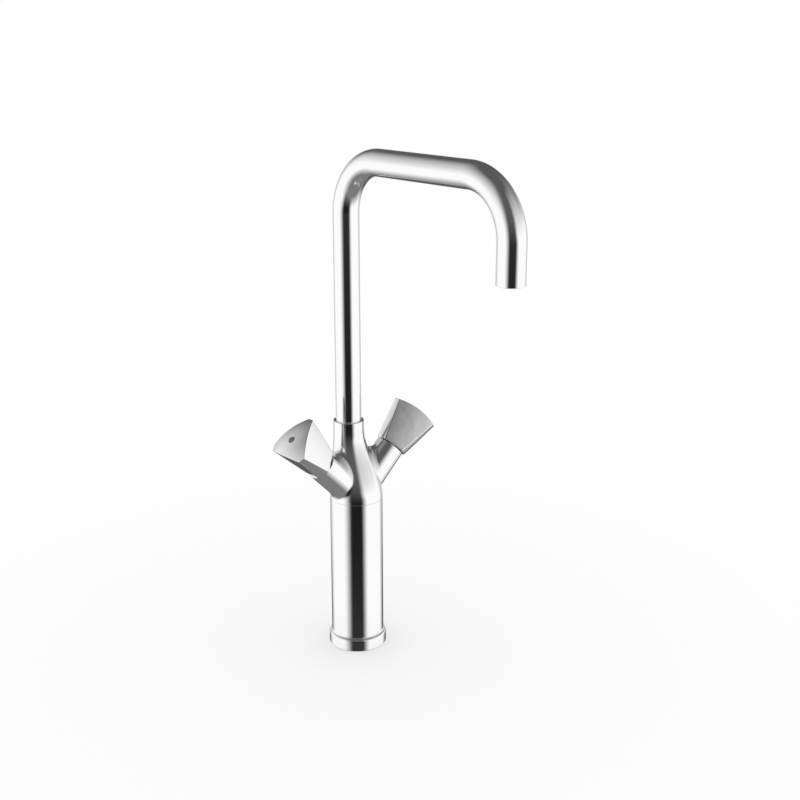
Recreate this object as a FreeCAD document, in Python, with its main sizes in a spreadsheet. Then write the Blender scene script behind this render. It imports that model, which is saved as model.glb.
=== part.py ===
import FreeCAD, Part
import math
import operator
import os

import Sketcher

FOLDER = "parts"
HOT = -1
COLD = 1
# How far a cut runs past the metal, and how near an edge has to be to the one looked for
OVERRUN = 1
CLOSE = 0.01
# A sketch's own numbers for its axes and for the points of a line or an arc
LEVEL_AXIS = -1
UPRIGHT_AXIS = -2
START = 1
END = 2
CENTRE = 3

# Driving sizes in millimetres and degrees: alias, value, what it is
SIZES = (
    ("column_radius", 25.0, "outside of the column tube"),
    ("column_wall", 2.0, "wall of the column tube"),
    ("column_height", 150.0, "deck to the joint between column tube and casting"),
    ("foot_radius", 27.5, "outside of the foot ring"),
    ("foot_wall_height", 9.5, "upright wall of the foot ring"),
    ("foot_height", 14.5, "top of the foot ring's flare"),
    ("foot_lip_height", 3.0, "lip of the foot ring under the column tube"),
    ("foot_edge", 0.6, "chamfer on the lower edge of the foot ring"),
    ("gasket_radius", 25.5, "middle of the deck gasket"),
    ("gasket_width", 1.8, "width of the deck gasket"),
    ("gasket_height", 2.0, "height of the deck gasket"),
    ("insert_height", 16.0, "height of the threaded foot insert"),
    ("stud_radius", 3.4, "tapping hole for the M8 fixing stud"),
    ("hose_offset", 13.0, "tap axis to hose axis"),
    ("hose_hole_radius", 7.0, "hose hole in the foot insert"),
    ("spigot_height", 12.0, "casting's spigot inside the column tube"),
    ("inlet_radius", 4.5, "tapping hole for the M10 by 1 hose end"),
    ("inlet_depth", 12.0, "threaded depth of an inlet"),
    ("waterway_radius", 4.0, "drilled waterway from an inlet to its seat"),
    ("neck_height", 65.0, "foot of the casting's neck to its end"),
    ("collar_height", 74.0, "foot of the casting's neck to the top of the collar"),
    ("collar_radius", 14.5, "outside of the collar"),
    ("collar_offset", 10.5, "column axis back to spout axis"),
    ("collar_edge", 0.8, "rounded top edge of the collar"),
    ("arm_height", 12.0, "casting's lower end to the point where the arm axes meet"),
    ("arm_tilt", 45.0, "arm axis from the upright"),
    ("arm_radius", 14.0, "outside of a valve arm"),
    ("arm_length", 58.0, "arm axes' meeting point to an arm's end face"),
    ("arm_edge", 0.8, "rounded edge of an arm's end"),
    ("crotch_radius", 7.0, "blend between arm and body"),
    ("seat_length", 31.0, "arm axes' meeting point to the valve seat"),
    ("valve_bore_radius", 10.25, "bore that takes a headpart"),
    ("mixing_height", 5.0, "floor of the riser to the cross bore that joins both valve chambers"),
    ("mixing_offset", 5.0, "column axis back to the cross bore"),
    ("mixing_radius", 3.0, "cross bore"),
    ("riser_radius", 7.0, "riser between cross bore and spout socket"),
    ("riser_floor", 15.0, "floor of the spout socket down to the floor of the riser"),
    ("socket_floor", 32.0, "top of the collar down to the floor of the spout socket"),
    ("socket_radius", 11.0, "bore of the spout socket"),
    ("counterbore_depth", 12.0, "counterbore that takes the spout tube's end"),
    ("tube_radius", 12.0, "outside of the spout tube"),
    ("tube_wall", 1.0, "wall of the spout tube"),
    ("spout_height", 241.0, "top of the collar to the spout tube's top centreline"),
    ("spout_reach", 208.0, "spout axis to outlet axis"),
    ("spout_bend", 48.0, "bend radius of the spout's centreline"),
    ("outlet_height", 81.0, "outlet's edge to the spout tube's top centreline"),
    ("slide_ring_height", 1.5, "slide ring under the spout tube"),
    ("spigot_overlap", 12.0, "spigot inside the spout tube"),
    ("spigot_bore", 7.5, "water bore of the spout spigot"),
    ("lock_height", 14.5, "floor of the spout socket to the lock screw's axis"),
    ("lock_radius", 2.5, "M5 lock screw"),
    ("lock_tip_radius", 1.75, "dog point of the lock screw"),
    ("lock_socket", 1.25, "hexagon socket of the lock screw, half across its flats"),
    ("lock_socket_depth", 1.5, "hexagon socket of the lock screw"),
    ("lock_groove_depth", 1.9, "groove in the spigot for the lock screw"),
    ("lower_ring_height", 4.0, "floor of the spout socket to the lower spout O-ring"),
    ("upper_ring_height", 8.5, "floor of the spout socket to the upper spout O-ring"),
    ("spout_ring_section", 0.9, "section radius of a spout O-ring"),
    ("spindle_ring_section", 0.75, "section radius of a spindle O-ring"),
    ("ring_side_gap", 0.2, "room beside an O-ring in its groove"),
    ("running_gap", 0.08, "radial room of a turning fit"),
    ("seal_gap", 0.04, "radial room between an O-ring and its bore"),
    ("fit_gap", 0.05, "radial room of a fixed fit"),
    ("loose_gap", 0.3, "axial room between parts that turn past each other"),
    ("nose_radius", 9.2, "headpart's nose"),
    ("nose_clearance", 0.3, "headpart's nose to the valve seat"),
    ("nose_length", 15.8, "headpart's nose"),
    ("cartridge_radius", 7.7, "disc chamber of a headpart"),
    ("chamber_length", 12.9, "valve seat to the roof of the disc chamber"),
    ("hexagon_flats", 17.0, "headpart's hexagon across its flats"),
    ("hexagon_height", 5.5, "headpart's hexagon"),
    ("throat_radius", 6.5, "headpart's throat above the hexagon"),
    ("throat_height", 1.0, "headpart's throat above the hexagon"),
    ("window_width", 8.0, "outlet window of a headpart"),
    ("window_height", 4.0, "outlet window of a headpart"),
    ("disc_radius", 7.5, "ceramic disc"),
    ("disc_height", 3.4, "ceramic disc"),
    ("disc_port_radius", 1.9, "port of the fixed disc"),
    ("disc_port_offset", 4.6, "port of the fixed disc from its centre"),
    ("seal_height", 1.9, "rubber seat seal"),
    ("seal_bore", 5.2, "bore of the rubber seat seal"),
    ("spindle_radius", 4.5, "spindle in the headpart"),
    ("spindle_flange_height", 4.0, "spindle's driving flange"),
    ("spline_radius", 4.0, "outside of the spindle's spline"),
    ("spline_depth", 0.5, "groove of the spline"),
    ("spline_width", 0.6, "groove of the spline"),
    ("spline_count", 20, "grooves round the spline"),
    ("spline_length", 17.0, "spline inside the handle"),
    ("spindle_ring_place", 9.1, "roof of the disc chamber to the spindle's O-ring"),
    ("clip_height", 0.8, "spindle's circlip"),
    ("clip_radius", 6.0, "outside of the circlip"),
    ("clip_groove", 0.9, "depth of the circlip's groove"),
    ("clip_opening", 3.0, "opening of the circlip"),
    ("handle_gap", 0.5, "arm's end face to the handle's rim"),
    ("handle_rim_radius", 16.0, "handle's cone at its rim"),
    ("handle_end_radius", 25.6, "handle's cone at its end"),
    ("handle_length", 38.8, "rim to the corners of the end face"),
    ("handle_crown", 5.5, "height of the domed end face"),
    ("flat_at_rim", 12.6, "handle axis to a flat at the rim"),
    ("flat_at_end", 16.0, "handle axis to a flat at the end"),
    ("flat_count", 3, "flats round the handle"),
    ("handle_edge", 0.5, "rounded ridges of the handle"),
    ("skirt_radius", 10.6, "bore in the handle's rim"),
    ("skirt_depth", 8.0, "bore in the handle's rim"),
    ("screw_radius", 2.0, "M4 handle screw"),
    ("screw_length", 12.0, "handle screw under its head"),
    ("screw_head_radius", 3.0, "head of the handle screw"),
    ("screw_head_height", 2.6, "head of the handle screw"),
    ("screw_socket", 1.25, "hexagon socket of the handle screw, half across its flats"),
    ("screw_socket_depth", 1.6, "hexagon socket of the handle screw"),
    ("screw_web", 3.0, "handle between spline and screw head"),
    ("cap_radius", 3.2, "index cap"),
    ("cap_height", 5.0, "index cap"),
    ("cap_proud", 0.3, "index cap above the end face"),
    ("bush_height", 10.0, "threaded bush in the spout's outlet"),
    ("bush_recess", 1.0, "outlet's edge to the threaded bush"),
    ("bush_bore", 9.3, "bore of the threaded bush"),
    ("bush_lip_bore", 8.0, "lip above the aerator"),
    ("bush_lip_height", 1.8, "lip above the aerator"),
    ("aerator_height", 5.8, "aerator's body"),
    ("aerator_rim", 1.6, "aerator's rim beside its grid"),
    ("jet_radius", 0.85, "hole of the aerator's grid"),
    ("jet_pitch", 2.9, "step between the aerator's rings of holes"),
    ("screen_height", 0.6, "aerator's screen"),
    ("screen_slot", 1.0, "slot of the aerator's screen"),
    ("screen_pitch", 2.2, "step between the screen's slots"),
)


SIGNS = {"+": operator.add, "-": operator.sub, "*": operator.mul, "/": operator.truediv}


class Size:
    """A length or an angle that holds its value and the sheet expression that gives it."""

    def __init__(self, value, text):
        self.value = value
        self.text = text

    def __add__(self, other):
        return joined(self, "+", other)

    def __radd__(self, other):
        return joined(other, "+", self)

    def __sub__(self, other):
        return joined(self, "-", other)

    def __rsub__(self, other):
        return joined(other, "-", self)

    def __mul__(self, other):
        return joined(self, "*", other)

    def __rmul__(self, other):
        return joined(other, "*", self)

    def __truediv__(self, other):
        return joined(self, "/", other)

    def __neg__(self):
        return joined(0.0, "-", self)


def as_size(item):
    """The item as a Size, also when it is a plain number."""
    if isinstance(item, Size):
        return item
    return Size(float(item), repr(float(item)))


def joined(left, sign, right):
    """Two sizes joined by one sign, as a value and as an expression."""
    a = as_size(left)
    b = as_size(right)
    return Size(SIGNS[sign](a.value, b.value), f"({a.text} {sign} {b.text})")


def root(size):
    """The square root of a size."""
    return Size(math.sqrt(size.value), f"sqrt({size.text})")


def sine(angle):
    """The sine of an angle in degrees."""
    return Size(math.sin(math.radians(angle.value)), f"sin({angle.text})")


def tangent(angle):
    """The tangent of an angle in degrees."""
    return Size(math.tan(math.radians(angle.value)), f"tan({angle.text})")


class Sizes:
    """The driving sizes, each reached by its alias."""

    def __init__(self, document):
        self.sheet = document.addObject("Spreadsheet::Sheet", "Sizes")
        for row, (alias, value, meaning) in enumerate(SIZES, start=1):
            self.sheet.set(f"A{row}", meaning)
            self.sheet.set(f"B{row}", str(value))
            self.sheet.setAlias(f"B{row}", alias)
        document.recompute()

    def __getattr__(self, alias):
        value = float(self.sheet.get(alias))
        return Size(value, f"Sizes.{alias}")


doc = FreeCAD.newDocument("basin_mixer_tap")
z = Sizes(doc)
subparts = []


def bind(item, path, size):
    """Ties one property of an object to the sheet."""
    item.setExpression(path, as_size(size).text)


def new_body(label):
    """An empty body that will be one sub-part."""
    body = doc.addObject("PartDesign::Body", label)
    body.Label = label
    subparts.append(body)
    return body


def origin_plane(body, role):
    """The body's own origin plane with that role."""
    return [item for item in body.Origin.OriginFeatures if item.Role == role][0]


def new_sketch(body, name, role, lift=None, axis_place=None, tilt=0):
    """A sketch on one of the body's planes: lifted off it, moved in it, or tilted with an arm."""
    sketch = body.newObject("Sketcher::SketchObject", name)
    sketch.AttachmentSupport = [(origin_plane(body, role), "")]
    sketch.MapMode = "FlatFace"
    if tilt:
        turn = FreeCAD.Rotation(FreeCAD.Vector(0, 0, -tilt), z.arm_tilt.value)
        sketch.AttachmentOffset = FreeCAD.Placement(FreeCAD.Vector(), turn)
        bind(sketch, "AttachmentOffset.Rotation.Angle", z.arm_tilt)
        bind(sketch, "AttachmentOffset.Base.y", arms_meet())
    if lift is not None:
        bind(sketch, "AttachmentOffset.Base.z", lift)
    if axis_place is not None:
        bind(sketch, "AttachmentOffset.Base.x", axis_place)
    return sketch


def fix_point(sketch, side, end, x, y):
    """Ties one point of a sketch to the sheet along both axes."""
    tie_coordinate(sketch, side, end, "x", as_size(x))
    tie_coordinate(sketch, side, end, "y", as_size(y))


def tie_coordinate(sketch, side, end, along, size):
    """Ties one coordinate of a point to the sheet, or puts the point on the axis where it is nothing."""
    kind, axis = ("DistanceX", UPRIGHT_AXIS) if along == "x" else ("DistanceY", LEVEL_AXIS)
    if size.text == "0.0":
        sketch.addConstraint(Sketcher.Constraint("PointOnObject", side, end, axis))
        return
    index = sketch.addConstraint(Sketcher.Constraint(kind, LEVEL_AXIS, START, side, end, size.value))
    bind(sketch, f"Constraints[{index}]", size)


def arc_centre(start, finish, along, size):
    """The centre that is as far from both ends of an arc and has one given coordinate."""
    (x0, y0), (x1, y1) = start, finish
    total = (x1 * x1 + y1 * y1 - x0 * x0 - y0 * y0) / 2
    if along == "x":
        return size.value, (total - size.value * (x1 - x0)) / (y1 - y0)
    return (total - size.value * (y1 - y0)) / (x1 - x0), size.value


def draw_outline(sketch, corners, arcs=None, closed=True):
    """Lines and arcs through the corners. An arc is (the coordinate of its centre, its size, its turn)."""
    arcs = arcs or {}
    points = [(as_size(x).value, as_size(y).value) for x, y in corners]
    count = len(corners) if closed else len(corners) - 1
    sides = []
    for number in range(count):
        start = points[number]
        finish = points[(number + 1) % len(points)]
        if number not in arcs:
            line = Part.LineSegment(FreeCAD.Vector(*start, 0), FreeCAD.Vector(*finish, 0))
            sides.append((sketch.addGeometry(line, False), START, END))
            continue
        along, size, turn = arcs[number]
        centre = arc_centre(start, finish, along, as_size(size))
        first, last = (start, finish) if turn > 0 else (finish, start)
        angles = [math.atan2(p[1] - centre[1], p[0] - centre[0]) for p in (first, last)]
        if angles[1] < angles[0]:
            angles[1] += 2 * math.pi
        radius = math.dist(start, centre)
        circle = Part.Circle(FreeCAD.Vector(*centre, 0), FreeCAD.Vector(0, 0, 1), radius)
        side = sketch.addGeometry(Part.ArcOfCircle(circle, *angles), False)
        sides.append((side, START, END) if turn > 0 else (side, END, START))
        tie_coordinate(sketch, side, CENTRE, along, as_size(size))
    for number in range(count if closed else count - 1):
        side, _, last_end = sides[number]
        other, first_end, _ = sides[(number + 1) % count]
        sketch.addConstraint(Sketcher.Constraint("Coincident", side, last_end, other, first_end))
    for number, (x, y) in enumerate(corners):
        side, end, last_end = sides[min(number, count - 1)]
        fix_point(sketch, side, end if number < count else last_end, x, y)


def draw_circle(sketch, x, y, radius):
    """One circle, with its centre and radius tied to the sheet."""
    centre = FreeCAD.Vector(as_size(x).value, as_size(y).value, 0)
    circle = Part.Circle(centre, FreeCAD.Vector(0, 0, 1), as_size(radius).value)
    side = sketch.addGeometry(circle, False)
    fix_point(sketch, side, CENTRE, x, y)
    index = sketch.addConstraint(Sketcher.Constraint("Radius", side, as_size(radius).value))
    bind(sketch, f"Constraints[{index}]", radius)


def draw_hexagon(sketch, half_flats):
    """A hexagon about the sketch's origin, given by half the distance across its flats."""
    half_side = half_flats / root(as_size(3))
    corners = (
        (half_side * 2, 0),
        (half_side, half_flats),
        (-half_side, half_flats),
        (-half_side * 2, 0),
        (-half_side, -half_flats),
        (half_side, -half_flats),
    )
    draw_outline(sketch, corners)


def turn_profile(body, name, corners, arcs=None, tilt=0, role="XZ_Plane", axis_place=None):
    """Turns a closed outline, radius against length, round the sketch's upright axis."""
    sketch = new_sketch(body, f"{name}_profile", role, axis_place=axis_place, tilt=tilt)
    draw_outline(sketch, corners, arcs)
    feature = body.newObject("PartDesign::Revolution", name)
    feature.Profile = sketch
    feature.ReferenceAxis = (sketch, ["V_Axis"])
    feature.Angle = 360
    return feature


def bore_profile(body, name, corners, tilt=0, role="XZ_Plane", axis_place=None):
    """Cuts a closed outline, turned round the sketch's upright axis, out of the body."""
    sketch = new_sketch(body, f"{name}_profile", role, axis_place=axis_place, tilt=tilt)
    draw_outline(sketch, corners)
    feature = body.newObject("PartDesign::Groove", name)
    feature.Profile = sketch
    feature.ReferenceAxis = (sketch, ["V_Axis"])
    feature.Angle = 360
    return feature


def pad(body, name, sketch, length, reverse=False, both_ways=False):
    """Pads a sketch by a length."""
    feature = body.newObject("PartDesign::Pad", name)
    feature.Profile = sketch
    set_run(feature, length, reverse, both_ways)
    return feature


def pocket(body, name, sketch, length, reverse=False, both_ways=False):
    """Cuts a sketch out of the body to a depth."""
    feature = body.newObject("PartDesign::Pocket", name)
    feature.Profile = sketch
    set_run(feature, length, reverse, both_ways)
    return feature


def set_run(feature, length, reverse, both_ways):
    """Gives a pad or a pocket its length and direction."""
    bind(feature, "Length", length)
    feature.Reversed = reverse
    if both_ways:
        feature.SideType = "Symmetric"


def round_edges(body, name, radius, chosen):
    """Rounds those edges of the body's last feature for which chosen(edge) holds."""
    doc.recompute()
    base = body.Tip
    names = [f"Edge{n}" for n, edge in enumerate(base.Shape.Edges, start=1) if chosen(edge)]
    if not names:
        raise ValueError(f"{body.Label}: no edge to round for {name}")
    feature = body.newObject("PartDesign::Fillet", name)
    feature.Base = (base, names)
    bind(feature, "Radius", radius)
    return feature


def copy_round(body, name, originals, count):
    """Repeats features evenly round the body's upright axis."""
    pattern = body.newObject("PartDesign::PolarPattern", name)
    pattern.Originals = originals
    pattern.Axis = ([item for item in body.Origin.OriginFeatures if item.Role == "Z_Axis"][0], [""])
    pattern.Angle = 360
    bind(pattern, "Occurrences", count)
    body.Tip = pattern
    return pattern


def mirror_across(body, name, originals):
    """Repeats features on the other side of the tap's middle plane."""
    mirror = body.newObject("PartDesign::Mirrored", name)
    mirror.Originals = originals
    mirror.MirrorPlane = (origin_plane(body, "YZ_Plane"), [""])
    body.Tip = mirror
    return mirror


def seat_on_spout_axis(body):
    """Puts a part that is turned about its own axis onto the spout's axis."""
    bind(body, "Placement.Base.y", z.collar_offset)


def seat_on_arm(body, side):
    """Lays a part's upright axis along the hot or the cold arm."""
    axis = FreeCAD.Vector(0, side, 0)
    turn = FreeCAD.Rotation(axis, z.arm_tilt.value)
    body.Placement = FreeCAD.Placement(FreeCAD.Vector(), turn)
    bind(body, "Placement.Rotation.Angle", z.arm_tilt)
    bind(body, "Placement.Base.z", arms_meet())


def column_inside():
    """The bore of the column tube."""
    return z.column_radius - z.column_wall


def casting_foot():
    """The height of the casting's lower end, inside the column tube."""
    return z.column_height - z.spigot_height


def arms_meet():
    """The height at which the two arm axes meet on the column's axis."""
    return casting_foot() + z.arm_height


def collar_top():
    """The height of the collar's top."""
    return z.column_height + z.collar_height


def socket_level():
    """The height of the spout socket's floor."""
    return collar_top() - z.socket_floor


def riser_level():
    """The height of the riser's floor."""
    return socket_level() - z.riser_floor


def counterbore_level():
    """The height of the step in the spout socket that carries the slide ring."""
    return collar_top() - z.counterbore_depth


def build_column_tube():
    """The plain tube between the foot ring and the casting."""
    body = new_body("column_tube")
    inside = column_inside()
    corners = (
        (inside, z.foot_lip_height),
        (z.column_radius, z.foot_lip_height),
        (z.column_radius, z.column_height),
        (inside, z.column_height),
    )
    turn_profile(body, "tube", corners)


def build_base_ring():
    """The foot ring: a lip under the tube, an upright wall and an S-shaped flare into the tube."""
    body = new_body("base_ring")
    bore = z.column_radius + z.fit_gap
    lip_bore = column_inside()
    width = z.foot_radius - bore
    rise = z.foot_height - z.foot_wall_height
    middle = (z.foot_radius - width / 2, z.foot_wall_height + rise / 2)
    groove_inner = z.gasket_radius - z.gasket_width / 2 - z.fit_gap
    groove_outer = z.gasket_radius + z.gasket_width / 2 + z.fit_gap
    corners = (
        (lip_bore, 0),
        (groove_inner, 0),
        (groove_inner, z.gasket_height + z.fit_gap),
        (groove_outer, z.gasket_height + z.fit_gap),
        (groove_outer, 0),
        (z.foot_radius - z.foot_edge, 0),
        (z.foot_radius, z.foot_edge),
        (z.foot_radius, z.foot_wall_height),
        middle,
        (bore, z.foot_height),
        (bore, z.foot_lip_height),
        (lip_bore, z.foot_lip_height),
    )
    arcs = {7: ("y", z.foot_wall_height, 1), 8: ("y", z.foot_height, -1)}
    turn_profile(body, "ring", corners, arcs)


def build_base_gasket():
    """The rubber ring that seals the foot ring on the deck."""
    body = new_body("base_gasket")
    inner = z.gasket_radius - z.gasket_width / 2
    outer = z.gasket_radius + z.gasket_width / 2
    corners = ((inner, 0), (outer, 0), (outer, z.gasket_height), (inner, z.gasket_height))
    turn_profile(body, "gasket", corners)


def build_base_insert():
    """The brass plug in the tube's foot, with the stud's thread and two hose holes."""
    body = new_body("base_insert")
    sketch = new_sketch(body, "plug_outline", "XY_Plane")
    draw_circle(sketch, 0, 0, column_inside() - z.fit_gap)
    draw_circle(sketch, 0, 0, z.stud_radius)
    for side in (HOT, COLD):
        draw_circle(sketch, z.hose_offset * side, 0, z.hose_hole_radius)
    pad(body, "plug", sketch, z.insert_height)


# Heights of the neck's sections, as shares of the neck's height
NECK_STEPS = (0, 0.12, 0.3, 0.5, 0.7, 0.88, 1)


def neck_share(step):
    """How far the neck has gone from column to collar, level at both ends."""
    return step * step * (3 - 2 * step)


def build_mixer_body():
    """The Y-shaped casting: spigot, sloping neck, collar, two valve arms and the waterways in them."""
    body = new_body("mixer_body")
    sections = []
    for number, step in enumerate(NECK_STEPS):
        lift = z.column_height + z.neck_height * step
        sketch = new_sketch(body, f"neck_section_{number}", "XY_Plane", lift=lift)
        share = neck_share(step)
        radius = z.column_radius + (z.collar_radius - z.column_radius) * share
        draw_circle(sketch, 0, z.collar_offset * share if share else 0, radius)
        sections.append(sketch)
    neck = body.newObject("PartDesign::AdditiveLoft", "neck")
    neck.Profile = sections[0]
    neck.Sections = sections[1:]
    neck.Ruled = False

    sketch = new_sketch(body, "spigot_outline", "XY_Plane", lift=casting_foot())
    draw_circle(sketch, 0, 0, column_inside() - z.fit_gap)
    pad(body, "spigot", sketch, z.spigot_height)

    sketch = new_sketch(body, "collar_outline", "XY_Plane", lift=z.column_height + z.neck_height)
    draw_circle(sketch, 0, z.collar_offset, z.collar_radius)
    pad(body, "collar", sketch, z.collar_height - z.neck_height)

    arm = turn_profile(
        body,
        "arm",
        ((0, 0), (z.arm_radius, 0), (z.arm_radius, z.arm_length), (0, z.arm_length)),
        tilt=COLD,
    )
    mirror_across(body, "arms", [arm])
    round_edges(body, "crotches", z.crotch_radius, is_crotch)
    round_edges(body, "arm_edges", z.arm_edge, is_arm_end)
    round_edges(body, "collar_edge", z.collar_edge, is_collar_top)

    tube_bore = z.tube_radius + z.running_gap
    socket_corners = (
        (0, riser_level()),
        (z.riser_radius, riser_level()),
        (z.riser_radius, socket_level()),
        (z.socket_radius, socket_level()),
        (z.socket_radius, counterbore_level()),
        (tube_bore, counterbore_level()),
        (tube_bore, collar_top() + OVERRUN),
        (0, collar_top() + OVERRUN),
    )
    bore_profile(body, "spout_socket", socket_corners, role="YZ_Plane", axis_place=z.collar_offset)

    waterway_start = z.hose_offset / sine(z.arm_tilt)
    waterway_rise = z.arm_height + z.hose_offset / tangent(z.arm_tilt)
    valve_corners = (
        (0, waterway_start),
        (z.waterway_radius, waterway_start),
        (z.waterway_radius, z.seat_length),
        (z.valve_bore_radius, z.seat_length),
        (z.valve_bore_radius, z.arm_length + OVERRUN),
        (0, z.arm_length + OVERRUN),
    )
    valve_bore = bore_profile(body, "valve_bore", valve_corners, tilt=COLD)
    sketch = new_sketch(body, "waterway_outline", "XY_Plane", lift=casting_foot())
    draw_circle(sketch, z.hose_offset, 0, z.waterway_radius)
    waterway = pocket(body, "waterway", sketch, waterway_rise, reverse=True)
    sketch = new_sketch(body, "inlet_outline", "XY_Plane", lift=casting_foot())
    draw_circle(sketch, z.hose_offset, 0, z.inlet_radius)
    inlet = pocket(body, "inlet", sketch, z.inlet_depth, reverse=True)
    mirror_across(body, "both_valves", [valve_bore, waterway, inlet])

    mixing_level = riser_level() + z.mixing_height
    arm_axis_reach = (mixing_level - arms_meet()) * tangent(z.arm_tilt)
    sketch = new_sketch(body, "mixing_outline", "YZ_Plane")
    draw_circle(sketch, z.mixing_offset, mixing_level, z.mixing_radius)
    pocket(body, "mixing_bore", sketch, arm_axis_reach * 2, both_ways=True)

    sketch = new_sketch(body, "lock_outline", "XZ_Plane", lift=-z.collar_offset)
    draw_circle(sketch, 0, socket_level() + z.lock_height, z.lock_radius + z.fit_gap)
    pocket(body, "lock_hole", sketch, z.collar_radius + OVERRUN)


def is_crotch(edge):
    """Whether an edge is where an arm leaves the neck."""
    box = edge.BoundBox
    spans_arm = box.YLength > z.arm_radius.value
    one_side = box.XMin > CLOSE or box.XMax < -CLOSE
    return spans_arm and one_side and edge.Curve.TypeId != "Part::GeomCircle"


def is_arm_end(edge):
    """Whether an edge is the rim of an arm's end face."""
    if edge.Curve.TypeId != "Part::GeomCircle":
        return False
    return abs(edge.Curve.Radius - z.arm_radius.value) < CLOSE and abs(edge.Curve.Center.x) > CLOSE


def is_collar_top(edge):
    """Whether an edge is the collar's top rim."""
    return edge.BoundBox.ZMin > collar_top().value - CLOSE


def build_lock_screw():
    """The grub screw at the collar's back whose point keeps the spout in its socket."""
    body = new_body("spout_lock_screw")
    tip = z.socket_radius - z.lock_groove_depth + z.loose_gap
    shoulder = z.socket_radius + z.loose_gap
    outer = z.collar_radius - z.loose_gap
    corners = (
        (0, tip),
        (z.lock_tip_radius, tip),
        (z.lock_tip_radius, shoulder),
        (z.lock_radius, shoulder),
        (z.lock_radius, outer),
        (0, outer),
    )
    turn_profile(body, "screw", corners)
    sketch = new_sketch(body, "key_outline", "XY_Plane", lift=outer)
    draw_hexagon(sketch, z.lock_socket)
    pocket(body, "key", sketch, z.lock_socket_depth)
    lay_back = FreeCAD.Rotation(FreeCAD.Vector(1, 0, 0), -90)
    body.Placement = FreeCAD.Placement(FreeCAD.Vector(), lay_back)
    bind(body, "Placement.Base.y", z.collar_offset)
    bind(body, "Placement.Base.z", socket_level() + z.lock_height)


def tube_foot():
    """The height of the spout tube's lower end, on its slide ring."""
    return counterbore_level() + z.slide_ring_height


def spout_top():
    """The height of the spout tube's top centreline."""
    return collar_top() + z.spout_height


def outlet_level():
    """The height of the outlet's edge."""
    return spout_top() - z.outlet_height


def build_spout_tube():
    """The bent tube: up, forward and down to the outlet."""
    body = new_body("spout_tube")
    path = new_sketch(body, "tube_path", "YZ_Plane")
    back = z.collar_offset
    front = z.collar_offset - z.spout_reach
    low_bend = spout_top() - z.spout_bend
    corners = (
        (back, tube_foot()),
        (back, low_bend),
        (back - z.spout_bend, spout_top()),
        (front + z.spout_bend, spout_top()),
        (front, low_bend),
        (front, outlet_level()),
    )
    arcs = {1: ("y", low_bend, 1), 3: ("y", low_bend, 1)}
    draw_outline(path, corners, arcs, closed=False)
    section = new_sketch(body, "tube_section", "XY_Plane", lift=tube_foot())
    draw_circle(section, 0, z.collar_offset, z.tube_radius)
    draw_circle(section, 0, z.collar_offset, z.tube_radius - z.tube_wall)
    tube = body.newObject("PartDesign::AdditivePipe", "tube")
    tube.Profile = section
    tube.Spine = (path, [])


def ring_groove_root(bore, section):
    """The root radius of a groove whose O-ring just clears the bore."""
    return bore - z.seal_gap - section * 2 - z.seal_gap


def build_spout_spigot():
    """The brass spigot in the tube's end, with a lock groove and two O-ring grooves."""
    body = new_body("spout_spigot")
    radius = z.socket_radius - z.running_gap
    foot = socket_level() + z.loose_gap
    top = tube_foot() + z.spigot_overlap
    ring_root = ring_groove_root(z.socket_radius, z.spout_ring_section)
    half_ring = z.spout_ring_section + z.ring_side_gap
    lock_root = z.socket_radius - z.lock_groove_depth
    half_lock = z.lock_tip_radius + z.loose_gap
    corners = [(z.spigot_bore, foot), (radius, foot)]
    grooves = (
        (z.lower_ring_height, half_ring, ring_root),
        (z.upper_ring_height, half_ring, ring_root),
        (z.lock_height, half_lock, lock_root),
    )
    for height, half, groove_root in grooves:
        middle = socket_level() + height
        corners += [
            (radius, middle - half),
            (groove_root, middle - half),
            (groove_root, middle + half),
            (radius, middle + half),
        ]
    corners += [
        (radius, tube_foot()),
        (z.tube_radius - z.tube_wall - z.fit_gap, tube_foot()),
        (z.tube_radius - z.tube_wall - z.fit_gap, top),
        (z.spigot_bore, top),
    ]
    turn_profile(body, "spigot", corners)
    seat_on_spout_axis(body)


def ring_of_rubber(body, name, middle_radius, section, height):
    """One O-ring round the body's upright axis."""
    sketch = new_sketch(body, f"{name}_section", "XZ_Plane")
    draw_circle(sketch, middle_radius, height, section)
    feature = body.newObject("PartDesign::Revolution", name)
    feature.Profile = sketch
    feature.ReferenceAxis = (sketch, ["V_Axis"])
    feature.Angle = 360


def build_spout_rings():
    """The two O-rings round the spout's spigot."""
    middle = z.socket_radius - z.seal_gap - z.spout_ring_section
    for label, height in (("lower", z.lower_ring_height), ("upper", z.upper_ring_height)):
        body = new_body(f"{label}_spout_o_ring")
        ring_of_rubber(body, "o_ring", middle, z.spout_ring_section, socket_level() + height)
        seat_on_spout_axis(body)


def build_slide_ring():
    """The plastic ring that the spout tube turns on."""
    body = new_body("spout_slide_ring")
    low = counterbore_level()
    inner = z.socket_radius
    corners = (
        (inner, low),
        (z.tube_radius, low),
        (z.tube_radius, low + z.slide_ring_height),
        (inner, low + z.slide_ring_height),
    )
    turn_profile(body, "ring", corners)
    seat_on_spout_axis(body)


def seat_on_outlet_axis(body):
    """Puts a turned part onto the outlet's axis."""
    bind(body, "Placement.Base.y", z.collar_offset - z.spout_reach)


def build_outlet_bush():
    """The threaded bush in the tube's outlet that takes the aerator."""
    body = new_body("outlet_bush")
    outer = z.tube_radius - z.tube_wall - z.fit_gap
    foot = outlet_level() + z.bush_recess
    top = foot + z.bush_height
    lip = top - z.bush_lip_height
    corners = (
        (z.bush_bore, foot),
        (outer, foot),
        (outer, top),
        (z.bush_lip_bore, top),
        (z.bush_lip_bore, lip),
        (z.bush_bore, lip),
    )
    turn_profile(body, "bush", corners)
    seat_on_outlet_axis(body)


# Rings of jets round the middle one: the ring's number and its jets
JET_RINGS = ((1, 6), (2, 12))
# Slots of the screen, counted from the middle one
SCREEN_SLOTS = (-2, -1, 0, 1, 2)


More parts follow.
